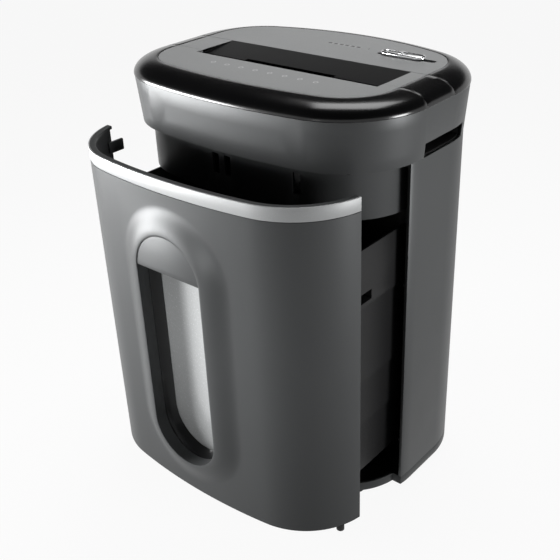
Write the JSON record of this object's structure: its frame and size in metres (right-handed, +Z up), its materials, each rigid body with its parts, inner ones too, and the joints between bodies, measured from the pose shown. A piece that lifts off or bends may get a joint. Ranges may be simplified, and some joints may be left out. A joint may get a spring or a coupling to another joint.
{
  "type": "paper shredder",
  "caption": "Upright paper shredder with a wrapping pull-out bin front, oval window, top feed slot, slide switch and twin geared cutting rollers.",
  "frame": {"origin": "on the floor at the centre of the cabinet's footprint, with the drawer shut or open", "axes": "+Z up, front of the drawer towards -Y, +X to the right seen from the front"},
  "size_m": [0.33, 0.3161, 0.4356],
  "materials": {
    "casing": "satin dark grey with a fine metallic fleck",
    "inner_casing": "matt black moulding",
    "rubber_foot": "matt",
    "grommet": "matt",
    "zinc_screw": "zinc plated",
    "gloss_rim": "gloss black",
    "deck": "satin metallic grey",
    "lens": "smoked lens",
    "circuit_board": "green solder mask",
    "lamp": "clear",
    "chrome_knob": "bright",
    "cutter_steel": "machined",
    "white_plastic": "natural nylon",
    "plate_steel": "zinc plated sheet",
    "bush_brass": "sintered",
    "armature_iron": "lacquered",
    "capacitor_sleeve": "sleeve",
    "band": "satin silver",
    "pane": "frosted clear"
  },
  "bodies": {
    "shredder": {"cabinet_base": "casing", "cabinet_shell": "casing", "head_shell": "casing", "head_base": "inner_casing", "rubber_feet": "rubber_foot", "floor_guides": "inner_casing", "handhold_liners": "inner_casing", "cord_gland": "grommet", "head_screws": "zinc_screw", "front_cover": "gloss_rim", "side_covers": "gloss_rim", "rear_cover": "gloss_rim", "front_deck_plate": "deck", "side_deck_plates": "deck", "rear_deck_plate": "deck", "throat_insert": "gloss_rim", "paper_sensor": "inner_casing", "indicator_lens": "lens", "indicator_board": "circuit_board", "indicator_lamps": "lamp", "mode_switch": "inner_casing", "stripper_comb_front": "white_plastic", "stripper_comb_rear": "white_plastic", "left_end_plate": "plate_steel", "right_end_plate": "plate_steel", "shaft_bushes": "bush_brass", "tie_rods": "plate_steel", "tie_rod_nuts": "zinc_screw", "reduction_gear_pin": "plate_steel", "gear_cover": "inner_casing", "motor_can": "plate_steel", "motor_end_cap": "inner_casing", "motor_screws": "zinc_screw", "control_board": "circuit_board", "capacitor": "capacitor_sleeve", "relay": "inner_casing", "board_screws": "zinc_screw", "interlock_switch": "inner_casing"},
    "drawer": {"drawer_front": "casing", "silver_band": "band", "grip_plate": "casing", "window_tub": "gloss_rim", "window_pane": "pane", "bin_carrier": "inner_casing", "drawer_screws": "zinc_screw", "waste_bin": "inner_casing", "drawer_glides": "rubber_foot"},
    "cutter_rear": {"cutter_roller_rear": "cutter_steel", "sync_gear_rear": "cutter_steel", "drive_gear": "cutter_steel", "retaining_clip_rear": "plate_steel"},
    "cutter_front": {"cutter_roller_front": "cutter_steel", "sync_gear_front": "cutter_steel", "retaining_clip_front": "plate_steel"},
    "reduction": {"reduction_gear": "white_plastic"},
    "armature": {"motor_armature": "armature_iron", "motor_pinion": "cutter_steel", "cooling_fan": "white_plastic"},
    "knob": {"mode_knob": "chrome_knob"},
    "plunger": {"interlock_plunger": "white_plastic"}
  },
  "joints": [
    {"name": "drawer_slide", "type": "slide", "parent": "shredder", "child": "drawer", "axis": [0, -1, 0], "range_m": [-0.073, 0.097]},
    {"name": "mode_slide", "type": "slide", "parent": "shredder", "child": "knob", "axis": [1, 0, 0], "range_m": [-0.003, 0.011]},
    {"name": "interlock_press", "type": "slide", "parent": "shredder", "child": "plunger", "axis": [0, 1, 0], "range_m": [0, 0.0025], "stiffness_N_per_m": 300, "springref_m": -0.001},
    {"name": "cutter_rear_spin", "type": "hinge", "parent": "shredder", "child": "cutter_rear", "pos_m": [0, -0.0168, 0.372], "axis": [1, 0, 0], "continuous": true},
    {"name": "cutter_front_spin", "type": "hinge", "parent": "shredder", "child": "cutter_front", "pos_m": [0, -0.0498, 0.372], "axis": [1, 0, 0], "continuous": true},
    {"name": "reduction_spin", "type": "hinge", "parent": "shredder", "child": "reduction", "pos_m": [0, 0.01942, 0.38171], "axis": [1, 0, 0], "continuous": true},
    {"name": "motor_spin", "type": "hinge", "parent": "shredder", "child": "armature", "pos_m": [0, 0.04573, 0.37213], "axis": [1, 0, 0], "continuous": true}
  ],
  "couplings": [
    {"joint": "cutter_front_spin", "follows": "cutter_rear_spin", "ratio": -1},
    {"joint": "reduction_spin", "follows": "cutter_rear_spin", "ratio": -3},
    {"joint": "motor_spin", "follows": "cutter_rear_spin", "ratio": 9}
  ]
}
